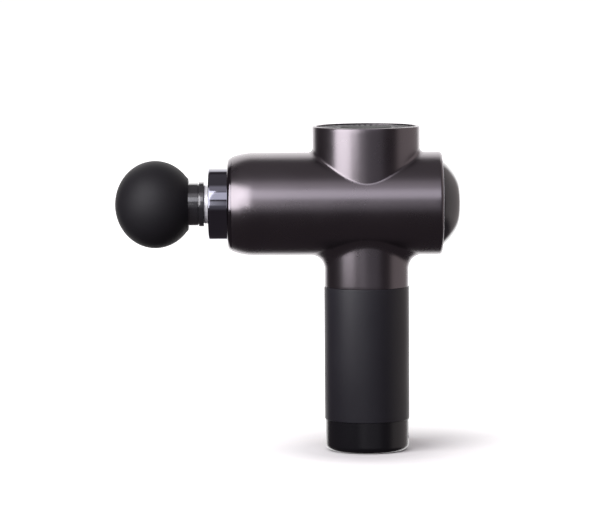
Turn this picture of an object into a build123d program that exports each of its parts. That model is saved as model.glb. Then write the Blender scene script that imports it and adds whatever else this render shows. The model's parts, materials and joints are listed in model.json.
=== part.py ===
from build123d import *
import math
import os

# Massage gun: a round handle, an oval barrel with a percussion head at its front and a control
# dome at its back, and a round motor housing on top of the barrel.
#
# Frame, in millimetres: the origin is the centre of the handle's underside, +Z is up along the
# handle, -X points out of the barrel towards the massage head, and Y runs across the barrel.
# The motor's shaft is the Z axis. Its crank pin is at rest on the +X side, so the piston is at
# the back of its stroke.

os.makedirs("parts", exist_ok=True)

# ---------------------------------------------------------------- driving dimensions

axis_z = 142.0              # height of the barrel's axis
top_z = 186.4               # top rim of the motor housing
wall = 2.2                  # wall of the housing

barrel_half_width = 34.3    # across, along Y
barrel_half_height = 29.4   # along Z
barrel_rear_x = 43.3
barrel_front_x = -76.8      # where the nose ring meets the barrel
nose_front_x = -79.4
crown_x = -64.0             # the barrel starts to narrow here, towards its front
crown_radius = 34.7         # radius of that narrowing

motor_housing_r = 30.7
motor_bore_r = 28.5
motor_seat_z = 155.0        # the motor's plate rests here

neck_r = 24.05
neck_bore_r = 21.6
tube_r = 22.6               # handle tube, inside the grip and the base
tube_bore_r = 20.6
grip_r = 24.3
grip_bottom_z = 18.0
grip_top_z = 94.5
base_r = 23.9

collar_r = 20.5
collar_front_x = -90.35
piston_r = 11.2
piston_front_x = -92.75
piston_rear_x = -25.0
bush_clearance = 0.05       # radial running clearance of the piston
guide_r = 14.0              # outside of the piston's guide bush

crank_throw = 5.0           # half of the stroke
rod_length = 36.0           # between the rod's two bores
rod_half_thickness = 4.0
wrist_x = crank_throw - rod_length

shank_r = 7.5               # shank of the head, in the piston's socket
shank_length = 21.5
socket_depth = 22.5
flange_r = 12.95
flange_rear_x = -92.85
flange_front_x = -95.8
stem_r = 12.35
ball_centre_x = -120.8
ball_r = 25.0               # across the barrel's axis
ball_depth_r = 23.05        # along the barrel's axis
ball_cut = 19.0             # the ball's flat back, behind its centre

shaft_r = 2.5
screw_r = 1.25              # M2.5 thread
fit = 0.05                  # small gap between pieces that are only laid together

barrel_axis = Axis((0, 0, axis_z), (1, 0, 0))


# ---------------------------------------------------------------- shared shapes

def x_plane(x):
    """The plane across the barrel at x, with its origin on the barrel's axis."""
    return Plane(origin=(x, 0, axis_z), x_dir=(0, 1, 0), z_dir=(1, 0, 0))


def barrel_side_plane():
    """The upright plane along the barrel, for outlines that turn around its axis."""
    return Plane(origin=(0, 0, axis_z), x_dir=(1, 0, 0), z_dir=(0, -1, 0))


def z_disc(z_from, z_to, radius, mode=Mode.ADD, centre=(0, 0)):
    """A round slab across the handle's axis."""
    with BuildSketch(Plane.XY.offset(z_from)) as profile:
        with Locations(centre):
            Circle(radius)
    extrude(profile.sketch, amount=z_to - z_from, mode=mode)


def z_ring(z_from, z_to, outer_r, inner_r, centre=(0, 0)):
    """A round ring across the handle's axis."""
    with BuildSketch(Plane.XY.offset(z_from)) as profile:
        with Locations(centre):
            Circle(outer_r)
            Circle(inner_r, mode=Mode.SUBTRACT)
    extrude(profile.sketch, amount=z_to - z_from)


def x_disc(x_from, x_to, radius, mode=Mode.ADD, centre=(0, 0)):
    """A round slab across the barrel's axis."""
    with BuildSketch(x_plane(x_from)) as profile:
        with Locations(centre):
            Circle(radius)
    extrude(profile.sketch, amount=x_to - x_from, mode=mode)


def x_ring(x_from, x_to, outer_r, inner_r, centre=(0, 0)):
    """A round ring across the barrel's axis."""
    with BuildSketch(x_plane(x_from)) as profile:
        with Locations(centre):
            Circle(outer_r)
            Circle(inner_r, mode=Mode.SUBTRACT)
    extrude(profile.sketch, amount=x_to - x_from)


def z_box(x_size, y_size, z_from, z_to, centre=(0, 0), mode=Mode.ADD):
    """A square block that stands from z_from to z_to."""
    with BuildSketch(Plane.XY.offset(z_from)) as profile:
        with Locations(centre):
            Rectangle(x_size, y_size)
    extrude(profile.sketch, amount=z_to - z_from, mode=mode)


def x_box(y_size, z_size, x_from, x_to, centre=(0, 0), mode=Mode.ADD):
    """A square block that lies from x_from to x_to, centred beside the barrel's axis."""
    with BuildSketch(x_plane(x_from)) as profile:
        with Locations(centre):
            Rectangle(y_size, z_size)
    extrude(profile.sketch, amount=x_to - x_from, mode=mode)


def oval(inset):
    """The barrel's section, made smaller by inset all round."""
    Ellipse(barrel_half_width - inset, barrel_half_height - inset)


def crown(x):
    """How much the barrel has narrowed at x, in front of crown_x."""
    return (crown_x - x) ** 2 / (2 * crown_radius)


def barrel_body(front_x, rear_x, inset, mode=Mode.ADD):
    """The barrel from its crowned front to its straight rear, inset from its outer surface."""
    with BuildSketch(x_plane(crown_x)) as straight_section:
        oval(inset)
    extrude(straight_section.sketch, amount=rear_x - crown_x, mode=mode)
    crown_sections = []
    for share in (0, 1 / 3, 2 / 3, 1):
        x = crown_x + (front_x - crown_x) * share
        with BuildSketch(x_plane(x)) as section:
            oval(inset + crown(x))
        crown_sections.append(section.sketch)
    loft(crown_sections, mode=mode)


def polar(radius, degrees):
    """A point at a radius and an angle about the origin."""
    return (radius * math.cos(math.radians(degrees)), radius * math.sin(math.radians(degrees)))


def seam_at(builder, z):
    """The edges whose middle lies at the height z, such as the seam on a round barrel's crest."""
    return builder.edges().filter_by_position(Axis.Z, z - 0.5, z + 0.5)


def save(builder, label):
    """Names the finished piece and writes it to its own file."""
    builder.part.label = label
    export_step(builder.part, f"parts/{label}.step")


# ---------------------------------------------------------------- housing

# Three gunmetal castings bonded into one body: the barrel, the motor housing on top of it and the
# neck below it. They are drawn as one shape first, so that its blends run on from piece to piece,
# and are then parted along saddles that lie just outside the barrel.
rear_wall_x = 40.8
rear_hole_r = 22.5
rear_edge_r = 2.0
neck_fillet_r = 8.0
top_seam_fillet_r = 2.6
rim_fillet_r = 0.8
neck_recess_z = 100.0       # the handle tube plugs into the neck up to here
lug_bottom_z = 149.0
lug_size = (7.0, 8.2)
lug_x = 12.9
lug_y = 25.6
motor_screw_y = 22.3
motor_screw_points = [(x, y) for x in (-lug_x, lug_x) for y in (-motor_screw_y, motor_screw_y)]
saddle_height = 0.3         # how far outside the barrel the saddles lie

with BuildPart() as housing_shape:
    barrel_body(barrel_front_x, barrel_rear_x, 0)
    fillet(housing_shape.edges().group_by(Axis.X)[-1], rear_edge_r)
    z_disc(axis_z, top_z, motor_housing_r)
    fillet(seam_at(housing_shape, axis_z + barrel_half_height), top_seam_fillet_r)
    z_disc(grip_top_z, axis_z, neck_r)
    fillet(seam_at(housing_shape, axis_z - barrel_half_height), neck_fillet_r)
    fillet(housing_shape.edges().group_by(Axis.Z)[-1], rim_fillet_r)
    barrel_body(barrel_front_x, rear_wall_x, wall, mode=Mode.SUBTRACT)
    z_disc(motor_seat_z, top_z, motor_bore_r, mode=Mode.SUBTRACT)
    z_disc(grip_top_z, axis_z, neck_bore_r, mode=Mode.SUBTRACT)
    z_disc(grip_top_z, neck_recess_z, tube_r + fit, mode=Mode.SUBTRACT)
    x_disc(rear_wall_x, barrel_rear_x, rear_hole_r, mode=Mode.SUBTRACT)


def saddle_block(height):
    """A block a little larger than the barrel all round, whose surface is a saddle."""
    with BuildPart() as block:
        barrel_body(barrel_front_x - 1, barrel_rear_x + 1, -height)
    return block.part


with BuildPart() as barrel_housing:
    add(housing_shape.part)
    add(saddle_block(saddle_height), mode=Mode.INTERSECT)
    # Lugs on the side walls carry the motor's plate.
    with BuildSketch(Plane.XY.offset(lug_bottom_z)):
        with Locations(*[(x, y) for x in (-lug_x, lug_x) for y in (-lug_y, lug_y)]):
            Rectangle(*lug_size)
    extrude(amount=motor_seat_z - lug_bottom_z)
    with BuildSketch(Plane.XY.offset(lug_bottom_z)):
        with Locations(*motor_screw_points):
            Circle(screw_r)
    extrude(amount=motor_seat_z - lug_bottom_z, mode=Mode.SUBTRACT)
save(barrel_housing, "barrel_housing")

with BuildPart() as motor_housing:
    add(housing_shape.part)
    add(saddle_block(saddle_height + fit), mode=Mode.SUBTRACT)
    z_disc(axis_z, top_z + 1, 2 * motor_housing_r, mode=Mode.INTERSECT)
save(motor_housing, "motor_housing")

with BuildPart() as handle_neck:
    add(housing_shape.part)
    add(saddle_block(saddle_height + fit), mode=Mode.SUBTRACT)
    z_disc(grip_top_z - 1, axis_z, 3 * neck_r, mode=Mode.INTERSECT)
save(handle_neck, "handle_neck")

# Polished bezel that closes the barrel's front around the collar.
nose_edge_r = 1.6
nose_spigot_x = -73.0
nose_screw_r = 23.0
nose_screw_points = [polar(nose_screw_r, angle) for angle in (45, 135, 225, 315)]

with BuildPart() as nose_ring:
    for x in (nose_front_x, (nose_front_x + barrel_front_x) / 2, barrel_front_x):
        with BuildSketch(x_plane(x)):
            oval(crown(x))
    loft()
    fillet(nose_ring.edges().group_by(Axis.X)[0], nose_edge_r)
    with BuildSketch(x_plane(barrel_front_x)):
        oval(crown(barrel_front_x) + wall + fit)
    extrude(amount=nose_spigot_x - barrel_front_x)
    x_disc(nose_front_x, nose_spigot_x, collar_r + fit, mode=Mode.SUBTRACT)
    with BuildSketch(x_plane(nose_spigot_x)):
        with Locations(*nose_screw_points):
            Circle(screw_r)
    extrude(amount=-4.5, mode=Mode.SUBTRACT)
save(nose_ring, "nose_ring")


# ---------------------------------------------------------------- piston guide

# Gloss collar that the piston comes out of.
collar_lip_x = -88.5
collar_lip_r = 11.6
collar_edge_r = 1.2

with BuildPart() as front_collar:
    x_ring(collar_front_x, nose_spigot_x, collar_r, guide_r + 0.2)
    x_ring(collar_front_x, collar_lip_x, guide_r + 0.2, collar_lip_r)
    outer_front = front_collar.edges().group_by(Axis.X)[0].sort_by(SortBy.LENGTH)[-1]
    fillet(outer_front, collar_edge_r)
save(front_collar, "front_collar")

# Flanged sleeve behind the collar, screwed to the nose ring.
sleeve_flange_r = 24.8
sleeve_flange_x = -70.0
sleeve_r = 16.5
sleeve_rear_x = -55.0

with BuildPart() as guide_sleeve:
    x_ring(nose_spigot_x, sleeve_flange_x, sleeve_flange_r, guide_r)
    x_ring(sleeve_flange_x, sleeve_rear_x, sleeve_r, guide_r)
    with BuildSketch(x_plane(nose_spigot_x)):
        with Locations(*nose_screw_points):
            Circle(screw_r)
    extrude(amount=sleeve_flange_x - nose_spigot_x, mode=Mode.SUBTRACT)
save(guide_sleeve, "guide_sleeve")

with BuildPart() as nose_screws:
    with BuildSketch(x_plane(-77.0)):
        with Locations(*nose_screw_points):
            Circle(screw_r)
    extrude(amount=sleeve_flange_x + 77.0)
    with BuildSketch(x_plane(sleeve_flange_x)):
        with Locations(*nose_screw_points):
            Circle(1.7)
    extrude(amount=1.6)
save(nose_screws, "nose_screws")

# Plain bearing of the piston, with three oil grooves.
bush_front_x = -84.4
bush_rear_x = -56.0
bush_bore_r = piston_r + bush_clearance

with BuildPart() as guide_bush:
    x_ring(bush_front_x, bush_rear_x, guide_r, bush_bore_r)
    for groove_x in (-78.0, -70.0, -62.0):
        x_disc(groove_x, groove_x + 1.2, bush_bore_r + 0.6, mode=Mode.SUBTRACT)
save(guide_bush, "guide_bush")

# Rubber wiper behind the collar's lip.
with BuildPart() as wiper_seal:
    x_ring(-88.4, -87.0, guide_r, bush_bore_r)
    x_ring(-87.0, -84.6, guide_r, guide_r - 1.0)
save(wiper_seal, "wiper_seal")


# ---------------------------------------------------------------- piston and rod

slot_front_x = -49.5
slot_half = 5.0
wrist_pin_r = 3.0
wrist_eye_r = 7.0
piston_bore_r = 5.5

with BuildPart() as piston:
    x_disc(piston_front_x, piston_rear_x, piston_r)
    chamfer(piston.edges().group_by(Axis.X)[0], 0.4)
    x_disc(piston_front_x, piston_front_x + socket_depth, shank_r + fit, mode=Mode.SUBTRACT)
    # A bore from the socket to the slot saves weight.
    x_disc(piston_front_x + socket_depth, slot_front_x, piston_bore_r, mode=Mode.SUBTRACT)
    # Slot for the rod's small end, between two lugs.
    x_box(3 * piston_r, 2 * slot_half, slot_front_x, piston_rear_x, mode=Mode.SUBTRACT)
    with BuildSketch(Plane.XY.offset(axis_z - piston_r)):
        with Locations((wrist_x, 0)):
            Circle(wrist_pin_r)
    extrude(amount=2 * piston_r, mode=Mode.SUBTRACT)
    # Waist between the socket and the slot, to save weight.
    with BuildSketch(x_plane(-66.0)):
        Circle(piston_r + 1)
        Circle(8.6, mode=Mode.SUBTRACT)
    extrude(amount=4.0, mode=Mode.SUBTRACT)
save(piston, "piston")

# The pin is pressed into the rod and ends just short of the piston's lugs.
wrist_pin_half = slot_half - 0.3

with BuildPart() as wrist_pin:
    z_disc(axis_z - wrist_pin_half, axis_z + wrist_pin_half, wrist_pin_r, centre=(wrist_x, 0))
    chamfer(wrist_pin.edges().filter_by(GeomType.CIRCLE), 0.3)
save(wrist_pin, "wrist_pin")

small_bush_r = 4.0
big_eye_r = 10.5
big_bearing_r = 7.5
beam_half_width = 4.5

with BuildPart() as connecting_rod:
    z_disc(axis_z - rod_half_thickness, axis_z + rod_half_thickness, wrist_eye_r, centre=(wrist_x, 0))
    z_disc(axis_z - rod_half_thickness, axis_z + rod_half_thickness, big_eye_r,
           centre=(crank_throw, 0))
    beam_centre_x = (wrist_x + crank_throw) / 2
    z_box(rod_length, 2 * beam_half_width, axis_z - rod_half_thickness,
          axis_z + rod_half_thickness, centre=(beam_centre_x, 0))
    # Pockets on both faces leave an I-shaped beam.
    pocket_length = 14.0
    pocket_half_width = 2.6
    pocket_depth = 2.6
    for face_z in (axis_z - rod_half_thickness, axis_z + rod_half_thickness - pocket_depth):
        with BuildSketch(Plane.XY.offset(face_z)):
            with Locations((beam_centre_x - 1.6, 0)):
                SlotOverall(pocket_length, 2 * pocket_half_width)
        extrude(amount=pocket_depth, mode=Mode.SUBTRACT)
    z_disc(axis_z - rod_half_thickness, axis_z + rod_half_thickness, small_bush_r,
           mode=Mode.SUBTRACT, centre=(wrist_x, 0))
    z_disc(axis_z - rod_half_thickness, axis_z + 2.5, big_bearing_r, mode=Mode.SUBTRACT,
           centre=(crank_throw, 0))
    z_disc(axis_z + 2.5, axis_z + rod_half_thickness, big_bearing_r - 0.9, mode=Mode.SUBTRACT,
           centre=(crank_throw, 0))
save(connecting_rod, "connecting_rod")

with BuildPart() as small_end_bush:
    z_ring(axis_z - rod_half_thickness, axis_z + rod_half_thickness, small_bush_r, wrist_pin_r,
           centre=(wrist_x, 0))
save(small_end_bush, "small_end_bush")

# Ball bearing of the crank pin: two rings and seven balls.
journal_r = 3.0
bearing_half = 2.5
ball_path_r = 5.3
bearing_ball_r = 0.98
bearing_ball_count = 7

with BuildPart() as big_end_bearing:
    z_ring(axis_z - bearing_half, axis_z + bearing_half, big_bearing_r, 6.3, centre=(crank_throw, 0))
    z_ring(axis_z - bearing_half, axis_z + bearing_half, 4.3, journal_r + 0.03,
           centre=(crank_throw, 0))
    with Locations((crank_throw, 0, axis_z)):
        with PolarLocations(ball_path_r, bearing_ball_count):
            Sphere(bearing_ball_r)
save(big_end_bearing, "big_end_bearing")

# Counterweighted crank disc with its journal in one piece.
crank_bottom_z = 147.5
crank_top_z = 153.5
crank_hub_r = 9.5
counterweight_r = 17.0
journal_collar_r = 4.2
journal_end_z = 139.45
crank_screw_r = 1.5

with BuildPart() as crank_disc:
    z_disc(crank_bottom_z, crank_top_z, crank_hub_r)
    with BuildSketch(Plane.XY.offset(crank_bottom_z)):
        Circle(counterweight_r)
        with Locations((counterweight_r, 0)):
            Rectangle(2 * counterweight_r, 3 * counterweight_r, mode=Mode.SUBTRACT)
    extrude(amount=crank_top_z - crank_bottom_z)
    z_disc(axis_z + bearing_half + 0.1, crank_bottom_z, journal_collar_r, centre=(crank_throw, 0))
    z_disc(journal_end_z, axis_z + bearing_half + 0.1, journal_r, centre=(crank_throw, 0))
    z_disc(crank_bottom_z + 1.5, crank_top_z, shaft_r, mode=Mode.SUBTRACT)
    z_disc(journal_end_z, crank_bottom_z, crank_screw_r, mode=Mode.SUBTRACT,
           centre=(crank_throw, 0))
save(crank_disc, "crank_disc")

with BuildPart() as crank_screw:
    z_disc(139.0, journal_end_z - fit, journal_collar_r, centre=(crank_throw, 0))
    z_disc(136.4, 139.0, 2.8, centre=(crank_throw, 0))
    z_disc(journal_end_z - fit, crank_bottom_z - 0.5, crank_screw_r, centre=(crank_throw, 0))
    with BuildSketch(Plane.XY.offset(136.4)):
        with Locations((crank_throw, 0)):
            RegularPolygon(1.25, 6)
    extrude(amount=1.4, mode=Mode.SUBTRACT)
save(crank_screw, "crank_screw")


# ---------------------------------------------------------------- motor

plate_top_z = 158.0
plate_r = 28.3
bearing_r = 5.5
post_r = 7.0
post_top_z = 173.0
motor_bearing_height = 4.0
stator_bottom_z = 161.0
stator_top_z = 171.0
stator_r = 18.6
tooth_count = 12
magnet_inner_r = 19.1
magnet_outer_r = 20.7
bell_r = 22.5
bell_bottom_z = 160.0
bell_top_z = 177.0
bell_inner_top_z = 175.0
magnet_count = 14
fan_top_z = 181.6
fan_blades = 11

with BuildPart() as motor_mount:
    z_disc(motor_seat_z, plate_top_z, plate_r)
    z_disc(plate_top_z, post_top_z, post_r)
    z_disc(plate_top_z, stator_bottom_z, post_r + 2.0)
    z_disc(motor_seat_z, post_top_z, 4.0, mode=Mode.SUBTRACT)
    z_disc(motor_seat_z, motor_seat_z + motor_bearing_height, bearing_r, mode=Mode.SUBTRACT)
    z_disc(post_top_z - motor_bearing_height, post_top_z, bearing_r, mode=Mode.SUBTRACT)
    with BuildSketch(Plane.XY.offset(motor_seat_z)):
        with Locations(*motor_screw_points):
            Circle(screw_r)
        # Cooling slots around the plate.
        with PolarLocations(17.5, 6, start_angle=30):
            SlotOverall(9.0, 3.6, rotation=90)
    extrude(amount=plate_top_z - motor_seat_z, mode=Mode.SUBTRACT)
save(motor_mount, "motor_mount")

with BuildPart() as motor_screws:
    with BuildSketch(Plane.XY.offset(lug_bottom_z + 0.5)):
        with Locations(*motor_screw_points):
            Circle(screw_r)
    extrude(amount=plate_top_z - lug_bottom_z - 0.5)
    with BuildSketch(Plane.XY.offset(plate_top_z)):
        with Locations(*motor_screw_points):
            Circle(2.3)
    extrude(amount=1.6)
    with BuildSketch(Plane.XY.offset(plate_top_z + 0.6)):
        with Locations(*motor_screw_points):
            RegularPolygon(1.2, 6)
    extrude(amount=1.0, mode=Mode.SUBTRACT)
save(motor_screws, "motor_screws")

# Two bearings in the motor's post, with a running clearance on the shaft.
with BuildPart() as motor_bearings:
    z_ring(motor_seat_z, motor_seat_z + motor_bearing_height, bearing_r, shaft_r + 0.03)
    z_ring(post_top_z - motor_bearing_height, post_top_z, bearing_r, shaft_r + 0.03)
save(motor_bearings, "motor_bearings")

with BuildPart() as stator_core:
    with BuildSketch(Plane.XY.offset(stator_bottom_z)):
        Circle(stator_r)
        Circle(post_r, mode=Mode.SUBTRACT)
        # Room for the windings between the teeth, closed but for a narrow mouth.
        with PolarLocations(0, tooth_count, start_angle=180 / tooth_count):
            Polygon((10.4, 0.9), (16.9, 2.6), (16.9, -2.6), (10.4, -0.9), align=None,
                    mode=Mode.SUBTRACT)
        with PolarLocations(stator_r - 0.9, tooth_count, start_angle=180 / tooth_count):
            Rectangle(2.2, 1.2, mode=Mode.SUBTRACT)
    extrude(amount=stator_top_z - stator_bottom_z)
save(stator_core, "stator_core")

# One coil around each tooth, standing a little proud of the stack.
coil_end = 1.3
coil_centre_r = 14.3
coil_size = (3.8, 6.0)
tooth_width = 3.8

with BuildPart() as stator_windings:
    with BuildSketch(Plane.XY.offset(stator_bottom_z - coil_end)):
        with PolarLocations(coil_centre_r, tooth_count):
            RectangleRounded(*coil_size, 0.9)
    extrude(amount=stator_top_z - stator_bottom_z + 2 * coil_end)
    with BuildSketch(Plane.XY.offset(stator_bottom_z - fit)):
        with PolarLocations(coil_centre_r, tooth_count):
            Rectangle(coil_size[0] + 0.2, tooth_width)
    extrude(amount=stator_top_z - stator_bottom_z + 2 * fit, mode=Mode.SUBTRACT)
save(stator_windings, "stator_windings")

with BuildPart() as motor_shaft:
    z_disc(crank_bottom_z + 1.5, fan_top_z + 0.4, shaft_r)
    chamfer(motor_shaft.edges().filter_by(GeomType.CIRCLE), 0.3)
save(motor_shaft, "motor_shaft")

with BuildPart() as rotor_bell:
    z_ring(bell_bottom_z, bell_top_z, bell_r, magnet_outer_r)
    z_ring(bell_inner_top_z, bell_top_z, magnet_outer_r, shaft_r)
    fillet(rotor_bell.edges().group_by(Axis.Z)[-1].sort_by(SortBy.LENGTH)[-1], 1.0)
    with BuildSketch(Plane.XY.offset(bell_inner_top_z)):
        with PolarLocations(12.0, 6):
            Circle(3.2)
    extrude(amount=bell_top_z - bell_inner_top_z, mode=Mode.SUBTRACT)
save(rotor_bell, "rotor_bell")

with BuildPart() as rotor_magnets:
    with BuildSketch(Plane.XY.offset(stator_bottom_z)):
        Circle(magnet_outer_r)
        Circle(magnet_inner_r, mode=Mode.SUBTRACT)
        with PolarLocations((magnet_inner_r + magnet_outer_r) / 2, magnet_count):
            Rectangle(4.0, 0.8, mode=Mode.SUBTRACT)
    extrude(amount=stator_top_z - stator_bottom_z)
save(rotor_magnets, "rotor_magnets")

# Fan on the bell, with blades that lean back.
with BuildPart() as cooling_fan:
    z_ring(bell_top_z, bell_top_z + 1.0, 22.0, shaft_r)
    z_ring(bell_top_z + 1.0, fan_top_z, 6.0, shaft_r)
    with BuildSketch(Plane.XY.offset(bell_top_z + 1.0)):
        with PolarLocations(14.0, fan_blades):
            Rectangle(16.5, 1.0, rotation=24)
    extrude(amount=fan_top_z - bell_top_z - 1.0)
save(cooling_fan, "cooling_fan")

# Vent disc in the top of the motor housing.
grille_r = motor_bore_r - fit
grille_bottom_z = 183.2
grille_top_z = 185.6
vent_count = 44
vent_inner_r = 16.5
vent_outer_r = 26.6
vent_width = 1.5

with BuildPart() as top_grille:
    z_disc(grille_bottom_z, grille_top_z, grille_r)
    fillet(top_grille.edges().group_by(Axis.Z)[-1], 0.5)
    with BuildSketch(Plane.XY.offset(grille_bottom_z)):
        with PolarLocations((vent_inner_r + vent_outer_r) / 2, vent_count):
            SlotOverall(vent_outer_r - vent_inner_r, vent_width)
    extrude(amount=grille_top_z - grille_bottom_z, mode=Mode.SUBTRACT)
    # The middle of the disc is dished.
    z_disc(grille_top_z - 0.6, grille_top_z, vent_inner_r - 1.5, mode=Mode.SUBTRACT)
save(top_grille, "top_grille")

# Dark cap in the middle of the vents.
with BuildPart() as grille_cap:
    z_disc(grille_top_z - 0.6, grille_top_z - 0.1, vent_inner_r - 1.5 - fit)
    z_disc(grille_top_z - 0.1, grille_top_z + 0.3, vent_inner_r - 2.0)
    fillet(grille_cap.edges().group_by(Axis.Z)[-1], 0.3)
save(grille_cap, "grille_cap")


# ---------------------------------------------------------------- massage head

# Hollow plastic core that holds the ball's shape.
skin = 2.6
core_wall = 1.5


outline_steps = 12


def ball_outline(inset, mode=Mode.ADD):
    """Upper half of the ball's section beside the barrel's axis, cut flat behind its centre."""
    depth = ball_depth_r - inset
    radius = ball_r - inset
    cut_turn = math.acos((ball_cut - inset) / depth)
    turns = [cut_turn + (math.pi - cut_turn) * step / outline_steps
             for step in range(outline_steps + 1)]
    points = [(ball_centre_x + depth * math.cos(turn), radius * math.sin(turn)) for turn in turns]
    start_tangent = (-depth * math.sin(cut_turn), radius * math.cos(cut_turn))
    with BuildLine() as outline:
        Spline(*points, tangents=(start_tangent, (0, -1)))
        Polyline(points[-1], (points[0][0], 0), points[0])
    make_face(outline.edges(), mode=mode)


def ball_shell(outer_inset, inner_inset, opening_r):
    """Half of a shell's section, with an opening for the stem."""
    ball_outline(outer_inset)
    ball_outline(inner_inset, mode=Mode.SUBTRACT)
    with Locations((ball_centre_x, 0)):
        Rectangle(ball_r, opening_r, align=(Align.MIN, Align.MIN), mode=Mode.SUBTRACT)


with BuildPart() as ball_skin:
    with BuildSketch(barrel_side_plane()):
        ball_shell(0, skin, stem_r)
    revolve(axis=barrel_axis)
    outer_rim = ball_skin.edges().filter_by(GeomType.CIRCLE).group_by(Axis.X)[-1]
    fillet(outer_rim.sort_by(SortBy.LENGTH)[-1], 1.2)
save(ball_skin, "ball_skin")

with BuildPart() as ball_core:
    with BuildSketch(barrel_side_plane()):
        ball_shell(skin + fit, skin + core_wall, stem_r - 2.4)
    revolve(axis=barrel_axis)
save(ball_core, "ball_core")

# Stem: a hollow neck into the ball, a flange, and the shank that plugs into the piston.
o_ring_x = (-87.5, -77.5)
o_ring_section_r = 0.68
groove_width = 2.0
groove_depth = 1.5

with BuildPart() as head_stem:
    x_disc(ball_centre_x + ball_cut - skin, flange_front_x - 0.5, stem_r)
    x_disc(ball_centre_x + ball_cut - skin - 5.0, ball_centre_x + ball_cut - skin, stem_r - 2.45)
    x_disc(flange_front_x - 0.5, flange_front_x, stem_r - 0.5)
    x_disc(flange_front_x, flange_rear_x, flange_r)
    x_disc(flange_rear_x, flange_rear_x + shank_length, shank_r)
    chamfer(head_stem.edges().group_by(Axis.X)[-1], 0.8)
    for x in o_ring_x:
        with BuildSketch(x_plane(x - groove_width / 2)):
            Circle(shank_r + 1)
            Circle(shank_r - groove_depth, mode=Mode.SUBTRACT)
        extrude(amount=groove_width, mode=Mode.SUBTRACT)
    x_disc(ball_centre_x + ball_cut - skin - 5.0, flange_rear_x + 12.0, 4.5, mode=Mode.SUBTRACT)
save(head_stem, "head_stem")

with BuildPart() as head_o_rings:
    with BuildSketch(barrel_side_plane()):
        with Locations(*[(x, shank_r - 0.65) for x in o_ring_x]):
            Circle(o_ring_section_r)
    revolve(axis=barrel_axis)
save(head_o_rings, "head_o_rings")


# ---------------------------------------------------------------- rear control pod

dome_x = 43.9
dome_r = 24.0
dome_height = 9.6
dome_wall = 1.6
button_r = 11.6
pod_r = rear_hole_r - fit
pod_bore_r = 20.6
pod_front_x = 37.0
display_x = 40.2
button_travel = 0.8


def dome_outline(shrink):
    """Half of the dome's outline beside the barrel's axis: a round shoulder and a flat crown."""
    base = (dome_x, dome_r - shrink)
    shoulder = (dome_x + 4.3 - 0.6 * shrink, 20.1 - 0.9 * shrink)
    crown_edge = (dome_x + 8.9 - shrink, 12.3 - 0.4 * shrink)
    middle = (dome_x + dome_height - shrink, 0)
    with BuildLine() as outline:
        Spline(base, shoulder, crown_edge, middle, tangents=((1, -0.6), (0, -1)))
        Polyline(middle, (dome_x, 0), base)
    make_face(outline.edges())


# Moulded frame that clips into the housing and holds both boards.
with BuildPart() as control_frame:
    x_ring(pod_front_x, barrel_rear_x, pod_r, pod_bore_r)
    with BuildSketch(x_plane(33.1 + fit)):
        with Locations(*[polar(21.5, angle) for angle in (45, 135, 225, 315)]):
            Circle(1.9)
    extrude(amount=pod_front_x - 33.1 - fit)
    x_ring(display_x - 1.2, display_x, pod_bore_r, 18.5)
save(control_frame, "control_frame")

# Thin translucent ring that lights up between the housing and the dome.
with BuildPart() as light_ring:
    x_ring(barrel_rear_x + 0.02, dome_x, dome_r, 19.0)
save(light_ring, "light_ring")

with BuildPart() as control_dome:
    with BuildSketch(barrel_side_plane()):
        dome_outline(0)
    revolve(axis=barrel_axis)
    with BuildSketch(barrel_side_plane()):
        dome_outline(dome_wall)
    revolve(axis=barrel_axis, mode=Mode.SUBTRACT)
    x_disc(dome_x, dome_x + dome_height + 1, button_r + 0.15, mode=Mode.SUBTRACT)
save(control_dome, "control_dome")

with BuildPart() as power_button:
    with BuildSketch(barrel_side_plane()):
        dome_outline(0)
    revolve(axis=barrel_axis)
    with BuildSketch(x_plane(dome_x)):
        Circle(dome_r + 1)
        Circle(button_r, mode=Mode.SUBTRACT)
    extrude(amount=dome_height + 1, mode=Mode.SUBTRACT)
    x_disc(dome_x, dome_x + 6.6, button_r, mode=Mode.SUBTRACT)
    x_disc(dome_x + 2.4, dome_x + 6.6, 2.5)
    x_ring(dome_x + 4.0, dome_x + 6.6, button_r, button_r - 1.2)
    # Two ears under the dome keep the button in.
    for side in (-1, 1):
        x_box(2.4, 5.0, dome_x + 4.0, dome_x + 5.0, centre=(side * (button_r + 0.6), 0))
save(power_button, "power_button")


# Board behind the dome, with the switch under the button and a ring of small lights.
board_thickness = 1.6
display_r = pod_bore_r - 0.2
led_count = 8
led_ring_r = 15.5

with BuildPart() as display_board:
    x_disc(display_x, display_x + board_thickness, display_r)
save(display_board, "display_board")

with BuildPart() as tact_switch:
    x_box(6.0, 6.0, display_x + board_thickness, display_x + board_thickness + 3.2)
    x_disc(display_x + board_thickness + 3.2, dome_x + 2.4 - button_travel - 0.1, 1.75)
save(tact_switch, "tact_switch")

with BuildPart() as speed_leds:
    with BuildSketch(x_plane(display_x + board_thickness)):
        with PolarLocations(led_ring_r, led_count):
            Rectangle(1.6, 2.4)
    extrude(amount=0.8)
save(speed_leds, "speed_leds")

# Motor controller: an upright board on the frame's four posts.
controller_x = 31.5
controller_size = (38.0, 34.0)
mosfet_rows = (-9.0, 0.0, 9.0)
capacitor_r = 4.0

with BuildPart() as controller_board:
    x_box(*controller_size, controller_x, controller_x + board_thickness)
save(controller_board, "controller_board")

with BuildPart() as power_transistors:
    with BuildSketch(x_plane(controller_x - 1.1)):
        with Locations(*[(y, z) for y in mosfet_rows for z in (1.0, 9.0)]):
            Rectangle(5.0, 6.0)
    extrude(amount=1.1)
save(power_transistors, "power_transistors")

with BuildPart() as capacitors:
    with BuildSketch(x_plane(controller_x - 9.5)):
        with Locations((-6.0, -8.0), (6.0, -8.0)):
            Circle(capacitor_r)
    extrude(amount=9.5)
    fillet(capacitors.edges().group_by(Axis.X)[0], 0.6)
save(capacitors, "capacitors")


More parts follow.
